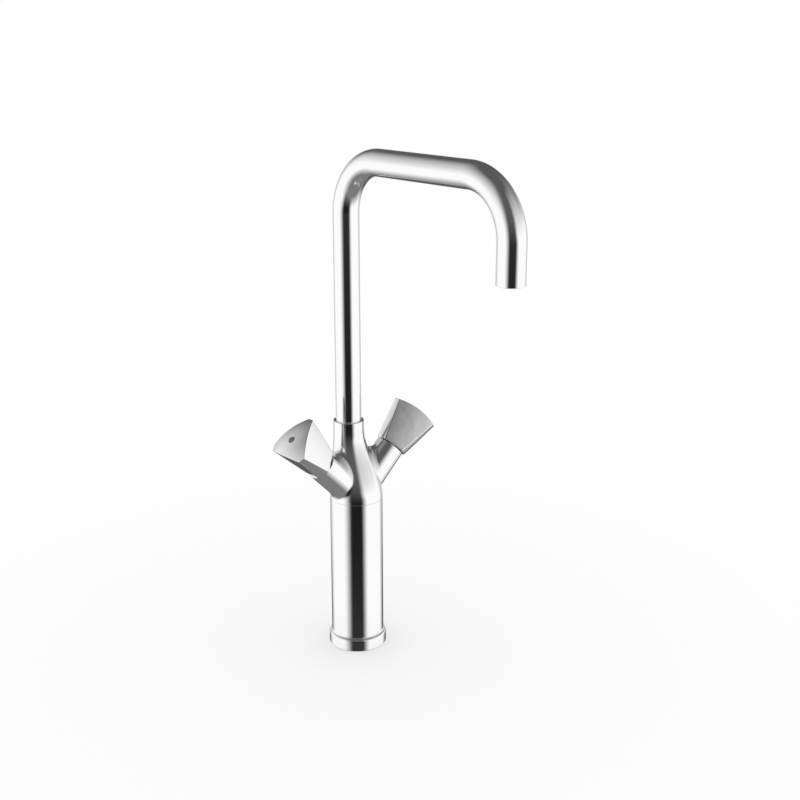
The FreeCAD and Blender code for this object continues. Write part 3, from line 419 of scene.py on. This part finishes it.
def handle_mesh(name, sizes, side):
    """A three-sided handle: outside from rim to cap well, then its bores back to the rim.

    side is -1 for the hot handle and 1 for the cold one, which is its mirror image.
    """
    corners = sizes.handle_length
    dome_radius = (sizes.end_radius**2 + sizes.handle_dome**2) / 2 / sizes.handle_dome
    dome_centre = corners + sizes.handle_dome - dome_radius
    roof = sizes.skirt_depth
    tip = roof + sizes.grip_length
    seat = tip + sizes.screw_web
    edge = sizes.handle_edge
    thirds = [2 * math.pi * k / HANDLE_SIDES for k in range(HANDLE_SIDES)]
    mirror = math.pi if side < 0 else 0
    rows = []

    # The next functions give a point as (radius, height). turn is its angle from a flat's middle

    def wall(turn, height):
        return handle_radius(sizes, turn, height / corners), height

    def dome(radius):
        return radius, dome_centre + math.sqrt(dome_radius**2 - radius**2)

    def corner(turn):
        # Where the wall meets the dome at this angle
        height = corners
        for _ in range(CORNER_ROUNDS):
            height = dome(wall(turn, height)[0])[1]
        return wall(turn, height)

    def rim(turn, inward, height):
        return handle_radius(sizes, turn, 0) - inward, height

    def up_wall(turn, part):
        return wall(turn, edge + (corner(turn)[1] - 2 * edge) * part)

    def round_corner(turn, part):
        radius, height = corner(turn)
        first = between(wall(turn, height - edge), (radius, height), part)
        last = between((radius, height), dome(radius - edge), part)
        return between(first, last, part)

    def over_dome(turn, part):
        outside = corner(turn)[0] - edge
        return dome(outside + (sizes.well_radius + edge / 2 - outside) * part)

    def bore(turn, radius, height):
        return radius, height

    def add_row(along, point, *given):
        row = []
        for third in thirds:
            for turn in handle_angles(sizes, along):
                radius, height = point(turn, *given)
                where = third + turn + mirror
                row.append((radius * math.cos(where), radius * math.sin(where), height))
        rows.append(row)

    add_row(0, bore, sizes.skirt_radius, edge / 2)
    add_row(0, bore, sizes.skirt_radius + edge / 2, 0)
    add_row(0, rim, edge, 0)
    add_row(0, rim, edge * EDGE_MIDDLE, edge * EDGE_MIDDLE)
    for k in range(WALL_STEPS + 1):
        add_row(k / WALL_STEPS, up_wall, k / WALL_STEPS)
    for k in range(1, CORNER_STEPS + 1):
        add_row(1, round_corner, k / CORNER_STEPS)
    for k in range(1, DOME_STEPS + 1):
        add_row(1, over_dome, k / DOME_STEPS)
    add_row(1, bore, sizes.well_radius, dome(sizes.well_radius)[1] - edge / 2)
    add_row(1, bore, sizes.well_radius, seat)
    add_row(1, bore, sizes.screw_radius, seat)
    add_row(1, bore, sizes.screw_radius, tip)
    add_row(1, bore, sizes.grip_radius, tip)
    add_row(0, bore, sizes.grip_radius, roof)
    add_row(0, bore, sizes.skirt_radius, roof)
    tilt = Matrix.Rotation(math.radians(ARM_TILT) * side, 4, "Y")
    place = Matrix.Translation((0, 0, sizes.arms_meet)) @ tilt @ Matrix.Translation((0, 0, sizes.handle_rim))
    return looped_mesh(name, rows, place)


# Finishes


def new_material(name, colour, metallic, roughness):
    """A Principled material with its constants on its own sockets."""
    material = bpy.data.materials.new(name)
    material.use_nodes = True
    tree = material.node_tree
    shader = tree.nodes["Principled BSDF"]
    shader.inputs["Base Color"].default_value = (*colour, 1)
    shader.inputs["Metallic"].default_value = metallic
    shader.inputs["Roughness"].default_value = roughness
    return tree, shader


def add_node(tree, kind, **inputs):
    """A node with some of its inputs set, spaces in their names written as _."""
    node = tree.nodes.new(kind)
    for name, value in inputs.items():
        node.inputs[name.replace("_", " ")].default_value = value
    return node


def spread(tree, factor, low, high):
    """Turns a 0 to 1 factor into a value between low and high."""
    node = add_node(tree, "ShaderNodeMapRange", To_Min=low, To_Max=high)
    tree.links.new(factor, node.inputs["Value"])
    return node.outputs["Result"]


def mixed_tint(tree, factor, one, other):
    """A colour between two, by a factor."""
    node = tree.nodes.new("ShaderNodeMix")
    node.data_type = "RGBA"
    node.inputs["A"].default_value = (*one, 1)
    node.inputs["B"].default_value = (*other, 1)
    tree.links.new(factor, node.inputs["Factor"])
    return node.outputs["Result"]


def shaded(colour, factor):
    """A colour made darker or lighter by a factor."""
    return tuple(min(1.0, c * factor) for c in colour)


def around(value, part):
    """The range from a part of the value below it to the same part above it."""
    return value * (1 - part), value * (1 + part)


def object_noise(tree, scale, detail):
    """Noise on the piece's own coordinates."""
    place = tree.nodes.new("ShaderNodeTexCoord")
    noise = add_node(tree, "ShaderNodeTexNoise", Scale=scale, Detail=detail)
    tree.links.new(place.outputs["Object"], noise.inputs["Vector"])
    return noise.outputs["Fac"]


def add_bump(tree, height, strength, depth, normal):
    """A bump from a height, with its normal led to a socket."""
    bump = add_node(tree, "ShaderNodeBump", Strength=strength, Distance=depth)
    tree.links.new(height, bump.inputs["Height"])
    tree.links.new(bump.outputs["Normal"], normal)
    return bump


def mottled(name, colour, metallic, roughness, scale, relief, variation, wave=None):
    """A finish whose colour, roughness and relief vary with noise.

    roughness is a range, scale belongs to the noise, relief is the strength and depth of the fine bumps,
    variation a share of the colour, and wave the scale and depth of a wide unevenness under the bumps.
    """
    tree, shader = new_material(name, colour, metallic, roughness[0])
    wide = object_noise(tree, scale, TONE_DETAIL)
    fine = object_noise(tree, scale * RELIEF_RATIO, RELIEF_DETAIL)
    tree.links.new(spread(tree, wide, *roughness), shader.inputs["Roughness"])
    tints = mixed_tint(tree, wide, shaded(colour, 1 - variation), shaded(colour, 1 + variation))
    tree.links.new(tints, shader.inputs["Base Color"])
    bump = add_bump(tree, fine, *relief, shader.inputs["Normal"])
    if wave:
        wave_scale, wave_depth = wave
        uneven = object_noise(tree, wave_scale, WAVE_DETAIL)
        add_bump(tree, uneven, 1.0, wave_depth, bump.inputs["Normal"])


def make_finishes(finishes):
    """One material for each slot of the record."""
    polish = around(finishes.chrome_roughness, 0.4)
    satin = around(finishes.handle_roughness, 0.2)
    mottled(
        "polished_chrome", finishes.chrome_tint, metallic=1, roughness=polish,
        scale=45, relief=(0.05, 0.00001), variation=0.01, wave=(55, 0.00004),
    )
    mottled(
        "handle_chrome", finishes.handle_tint, metallic=1, roughness=satin,
        scale=260, relief=(0.1, 0.00002), variation=0.03, wave=(90, 0.00012),
    )
    mottled(
        "stainless_steel", finishes.steel_tint, metallic=1, roughness=(0.22, 0.4),
        scale=400, relief=(0.12, 0.00002), variation=0.05,
    )
    mottled(
        "raw_brass", finishes.brass_tint, metallic=1, roughness=(0.22, 0.42),
        scale=300, relief=(0.15, 0.00003), variation=0.08,
    )
    mottled(
        "black_rubber", finishes.rubber_tint, metallic=0, roughness=(0.5, 0.7),
        scale=500, relief=(0.2, 0.00004), variation=0.2,
    )
    mottled(
        "white_ceramic", finishes.ceramic_tint, metallic=0, roughness=(0.1, 0.2),
        scale=200, relief=(0.05, 0.00001), variation=0.03,
    )
    mottled(
        "white_acetal", finishes.acetal_tint, metallic=0, roughness=(0.35, 0.5),
        scale=300, relief=(0.1, 0.00003), variation=0.04,
    )
    mottled(
        "index_grey", finishes.index_tint, metallic=0, roughness=(0.3, 0.42),
        scale=500, relief=(0.1, 0.00002), variation=0.08,
    )


def finish_of(slot):
    """The material made for a slot."""
    return bpy.data.materials[slot]


# Floor, light and camera


def mixed_shader(tree, factor, one, other):
    """A shader between two, by a factor."""
    node = tree.nodes.new("ShaderNodeMixShader")
    tree.links.new(factor, node.inputs[0])
    tree.links.new(one.outputs[0], node.inputs[1])
    tree.links.new(other.outputs[0], node.inputs[2])
    return node


def lay_floor(studio):
    """A pale floor that keeps a soft shadow and fades into the white background."""
    shape = bmesh.new()
    bmesh.ops.create_circle(shape, cap_ends=True, radius=FLOOR_RADIUS, segments=FLOOR_STEPS)
    mesh = bpy.data.meshes.new("floor")
    shape.to_mesh(mesh)
    shape.free()
    floor = bpy.data.objects.new("floor", mesh)
    bpy.context.scene.collection.objects.link(floor)
    floor.visible_glossy = False
    material = bpy.data.materials.new("pale_floor")
    material.use_nodes = True
    tree = material.node_tree
    tree.nodes.clear()
    place = tree.nodes.new("ShaderNodeTexCoord")
    span = tree.nodes.new("ShaderNodeVectorMath")
    span.operation = "LENGTH"
    tree.links.new(place.outputs["Object"], span.inputs[0])
    fade = add_node(
        tree, "ShaderNodeMapRange", From_Min=FADE_START, From_Max=FADE_END, To_Min=FADE_AT_TAP, To_Max=1.0
    )
    fade.interpolation_type = "SMOOTHSTEP"
    tree.links.new(span.outputs["Value"], fade.inputs["Value"])
    dull = add_node(tree, "ShaderNodeBsdfDiffuse", Color=(studio.floor_white,) * 3 + (1,))
    bright = add_node(tree, "ShaderNodeEmission", Color=WHITE, Strength=1.0)
    faded = mixed_shader(tree, fade.outputs["Result"], dull, bright)
    rays = tree.nodes.new("ShaderNodeLightPath")
    seen = mixed_shader(tree, rays.outputs["Is Camera Ray"], dull, faded)
    result = tree.nodes.new("ShaderNodeOutputMaterial")
    tree.links.new(seen.outputs[0], result.inputs["Surface"])
    mesh.materials.append(material)


def light_studio(studio):
    """White for the camera, a dark room with white screens for the chrome, and soft light for the rest."""
    world = bpy.data.worlds.new("studio")
    bpy.context.scene.world = world
    world.use_nodes = True
    tree = world.node_tree
    tree.nodes.clear()
    room = tree.nodes.new("ShaderNodeBackground")
    tree.links.new(studio_tone(tree, studio), room.inputs["Color"])
    soft = add_node(tree, "ShaderNodeBackground", Color=WHITE, Strength=studio.soft_light)
    white = add_node(tree, "ShaderNodeBackground", Color=WHITE, Strength=1.0)
    rays = tree.nodes.new("ShaderNodeLightPath")
    light = mixed_shader(tree, rays.outputs["Is Glossy Ray"], soft, room)
    seen = mixed_shader(tree, rays.outputs["Is Camera Ray"], light, white)
    result = tree.nodes.new("ShaderNodeOutputWorld")
    tree.links.new(seen.outputs[0], result.inputs["Surface"])


def studio_tone(tree, studio):
    """Lightness of the studio by direction, as the chrome sees it."""

    def maths(operation, *values):
        node = tree.nodes.new("ShaderNodeMath")
        node.operation = operation
        for number, value in enumerate(values):
            if isinstance(value, (int, float)):
                node.inputs[number].default_value = value
            else:
                tree.links.new(value, node.inputs[number])
        return node.outputs[0]

    def product(first, *others):
        for other in others:
            first = maths("MULTIPLY", first, other)
        return first

    def blend(tone, other, amount):
        # tone + (other - tone) * amount
        return maths("ADD", tone, product(maths("SUBTRACT", other, tone), amount))

    def rise(value, pair, kind="SMOOTHSTEP"):
        # From 0 at the pair's first number to 1 at its second
        node = add_node(tree, "ShaderNodeMapRange", From_Min=pair[0], From_Max=pair[1])
        node.interpolation_type = kind
        tree.links.new(value, node.inputs["Value"])
        return node.outputs["Result"]

    place = tree.nodes.new("ShaderNodeTexCoord")
    parts = tree.nodes.new("ShaderNodeSeparateXYZ")
    tree.links.new(place.outputs["Generated"], parts.inputs[0])
    x, y, height = parts.outputs["X"], parts.outputs["Y"], parts.outputs["Z"]
    near_x, near_y = TOWARDS_CAMERA
    toward = maths("ADD", product(x, near_x), product(y, near_y))
    across = maths("ADD", product(x, -near_y), product(y, near_x))
    azimuth = product(maths("ARCTAN2", across, toward), 180 / math.pi)
    aside = maths("ABSOLUTE", azimuth)
    elevation = product(maths("ARCSINE", height), 180 / math.pi)

    tone = blend(studio.room_tone, studio.floor_tone, rise(elevation, FLOOR_EDGE))
    band = product(rise(aside, BAND_SIDES), rise(elevation, BAND_TOP), rise(elevation, BAND_FOOT))
    tone = blend(tone, studio.back_tone, band)
    card = product(rise(aside, CARD_SIDES), rise(elevation, CARD_TOP), rise(elevation, CARD_FOOT))
    tone = blend(tone, studio.card_tone, card)
    left = product(rise(azimuth, LEFT_NEAR), rise(azimuth, LEFT_FAR))
    shift = product(rise(elevation, SHIFT_HEIGHTS), SHIFT)
    right = product(rise(maths("SUBTRACT", azimuth, shift), RIGHT_NEAR), rise(azimuth, RIGHT_FAR))
    faint = product(rise(azimuth, FAINT_SIDES), rise(elevation, FAINT_HEIGHTS), FAINTER)
    right = blend(right, 0.0, faint)
    level = product(rise(elevation, SCREEN_TOP, "LINEAR"), rise(elevation, SCREEN_FOOT, "LINEAR"))
    return blend(tone, 1.0, product(maths("ADD", left, right), level))


def set_camera():
    """The photograph's viewpoint for a square picture."""
    data = bpy.data.cameras.new("photograph")
    data.sensor_width = SENSOR_WIDTH
    data.lens = FOCAL_LENGTH / PICTURE_WIDTH * SENSOR_WIDTH
    data.clip_start = NEAREST
    data.clip_end = FARTHEST
    camera = bpy.data.objects.new("photograph", data)
    bpy.context.scene.collection.objects.link(camera)
    right = Vector(CAMERA_RIGHT).normalized()
    back = Vector(CAMERA_BACK).normalized()
    up = back.cross(right)
    turn = Matrix((right, up, back)).transposed().to_4x4()
    camera.matrix_world = Matrix.Translation(CAMERA_PLACE) @ turn
    bpy.context.scene.camera = camera
    bpy.context.scene.view_settings.view_transform = "Standard"


# Operators


class TAP_OT_finishes(bpy.types.Operator):
    """Make the finishes and give them to every CAD node"""

    bl_idname = "tap.finishes"
    bl_label = "Finishes"

    def execute(self, context):
        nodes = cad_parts.items()
        slots = {name: [place.material.name for place in node.material_slots] for name, node in nodes}
        for material in bpy.data.materials:
            material.name = "cad_" + material.name
        make_finishes(context.scene.tap_finishes)
        for name, node in nodes:
            for place, slot in zip(node.material_slots, slots[name]):
                place.material = finish_of(slot)
        return {"FINISHED"}


class TAP_OT_column(bpy.types.Operator):
    """Turn the column tube, with a fine broken edge at the joint with the casting"""

    bl_idname = "tap.column"
    bl_label = "Column"

    def execute(self, context):
        sizes = context.scene.tap_sizes
        outer, low, high, edge = sizes.column_radius, sizes.column_low, sizes.column_high, sizes.joint_edge
        inner = outer - sizes.column_wall
        outline = [
            (inner, low + edge),
            (inner + edge, low),
            (outer - edge, low),
            (outer, low + edge),
            (outer, high - edge),
            (outer - edge, high),
            (inner + edge, high),
            (inner, high - edge),
        ]
        mesh = shade_even(turned_mesh("column", outline), finish_of("polished_chrome"), CREASE)
        closed_piece("column", mesh, "tap_body", ["column_tube"])
        return {"FINISHED"}


class TAP_OT_foot_ring(bpy.types.Operator):
    """Turn the foot ring, whose upright wall runs into an S-shaped flare"""

    bl_idname = "tap.foot_ring"
    bl_label = "Foot ring"

    def execute(self, context):
        sizes = context.scene.tap_sizes
        outer, wall, top = sizes.foot_radius, sizes.foot_wall, sizes.foot_high
        edge, low = sizes.foot_edge, sizes.column_low
        bore = sizes.column_radius + sizes.foot_clearance
        lip = sizes.column_radius - sizes.column_wall
        inner, outside = sizes.gasket_inner, sizes.gasket_outer
        roof = node_high("base_gasket").z + sizes.foot_clearance
        width, rise = outer - bore, top - wall
        # Two equal arcs, upright at both ends, that meet in the middle of the flare
        bend = ((width / 2) ** 2 + (rise / 2) ** 2) / width
        swing = math.degrees(math.asin(rise / 2 / bend))
        outline = [(lip, 0), (inner, 0), (inner, roof), (outside, roof), (outside, 0)]
        outline += arc((outer - edge, edge), edge, -90, 0, FOOT_EDGE_STEPS)
        outline += arc((outer - bend, wall), bend, 0, swing, FLARE_STEPS)
        outline += arc((bore + bend, top), bend, 180 + swing, 180, FLARE_STEPS)[1:]
        outline += [(bore, low), (lip, low)]
        mesh = shade_even(turned_mesh("foot_ring", outline), finish_of("polished_chrome"), CREASE)
        closed_piece("foot_ring", mesh, "tap_body", ["base_ring"])
        return {"FINISHED"}


class TAP_OT_spout(bpy.types.Operator):
    """Bend the spout tube along its path with Geometry Nodes"""

    bl_idname = "tap.spout"
    bl_label = "Spout tube"

    def execute(self, context):
        sizes = context.scene.tap_sizes
        radius = sizes.spout_radius
        front = node_low("spout_tube").y + radius
        top = node_high("spout_tube").z - radius
        corners = [
            (0, sizes.spout_back, sizes.spout_low),
            (0, sizes.spout_back, top),
            (0, front, top),
            (0, front, node_low("aerator_body").z - sizes.outlet_lip),
        ]
        tree = bent_tube_tree()
        holder = bpy.data.objects.new("spout_tube_smooth", bpy.data.meshes.new("spout_path"))
        context.scene.collection.objects.link(holder)
        bending = holder.modifiers.new("bent_tube", "NODES")
        bending.node_group = tree
        inputs = {item.name: item.identifier for item in tree.interface.items_tree if item.in_out == "INPUT"}
        for name, corner in zip(PATH_CORNERS, corners):
            bending[inputs[name]] = corner
        bending[inputs["Tube radius"]] = radius
        bending[inputs["Bend radius"]] = sizes.spout_bend
        bending[inputs["Finish"]] = finish_of("polished_chrome")
        # The wall grows inwards from the swept outside
        wall = holder.modifiers.new("wall", "SOLIDIFY")
        wall.thickness = sizes.spout_wall
        wall.offset = -1
        edges = holder.modifiers.new("edges", "BEVEL")
        edges.width = sizes.spout_edge
        edges.segments = CUT_EDGE_STEPS
        edges.limit_method = "ANGLE"
        edges.angle_limit = math.radians(CUT_ANGLE)
        evaluated = holder.evaluated_get(bpy.context.evaluated_depsgraph_get())
        mesh = bpy.data.meshes.new_from_object(evaluated)
        mesh.name = "spout"
        bpy.data.objects.remove(holder)
        mesh = shade_even(mesh, finish_of("polished_chrome"), PIPE_CREASE)
        closed_piece("spout_pipe", mesh, "spout", ["spout_tube"])
        return {"FINISHED"}


class TAP_OT_handles(bpy.types.Operator):
    """Make both three-sided handles, with slightly bowed flats and rounded ridges"""

    bl_idname = "tap.handles"
    bl_label = "Handles"

    def execute(self, context):
        for name, side in (("hot", -1), ("cold", 1)):
            mesh = handle_mesh(f"{name}_handle_smooth", context.scene.tap_sizes, side)
            mesh = shade_even(mesh, finish_of("handle_chrome"), CREASE)
            closed_piece(f"{name}_grip", mesh, f"{name}_valve", [f"{name}_handle"])
        return {"FINISHED"}


class TAP_OT_stage(bpy.types.Operator):
    """Lay the pale floor, light the tap and set the camera"""

    bl_idname = "tap.stage"
    bl_label = "Stage"

    def execute(self, context):
        lay_floor(context.scene.tap_studio)
        light_studio(context.scene.tap_studio)
        set_camera()
        return {"FINISHED"}


class TAP_PT_panel(bpy.types.Panel):
    """Lists the operators and all sizes, finishes and lights"""

    bl_label = "Basin mixer tap"
    bl_idname = "TAP_PT_panel"
    bl_space_type = "VIEW_3D"
    bl_region_type = "UI"
    bl_category = "Mixer Tap"

    def draw(self, context):
        for operator in PIECE_OPERATORS:
            self.layout.operator(operator.bl_idname)
        for group in (context.scene.tap_sizes, context.scene.tap_finishes, context.scene.tap_studio):
            box = self.layout.box()
            for name in group.__annotations__:
                box.prop(group, name)


PIECE_OPERATORS = (
    TAP_OT_finishes,
    TAP_OT_column,
    TAP_OT_foot_ring,
    TAP_OT_spout,
    TAP_OT_handles,
    TAP_OT_stage,
)
CLASSES = (TapSizes, TapFinishes, TapStudio, *PIECE_OPERATORS, TAP_PT_panel)


def register():
    """Makes the classes known to Blender and gives the scene its settings."""
    for each in CLASSES:
        bpy.utils.register_class(each)
    bpy.types.Scene.tap_sizes = bpy.props.PointerProperty(type=TapSizes)
    bpy.types.Scene.tap_finishes = bpy.props.PointerProperty(type=TapFinishes)
    bpy.types.Scene.tap_studio = bpy.props.PointerProperty(type=TapStudio)


def unregister():
    """Takes the settings and classes away again."""
    del bpy.types.Scene.tap_sizes
    del bpy.types.Scene.tap_finishes
    del bpy.types.Scene.tap_studio
    for each in reversed(CLASSES):
        bpy.utils.unregister_class(each)


def main():
    """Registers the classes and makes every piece."""
    register()
    for operator in PIECE_OPERATORS:
        group, name = operator.bl_idname.split(".")
        getattr(getattr(bpy.ops, group), name)()


if __name__ == "__main__":
    main()
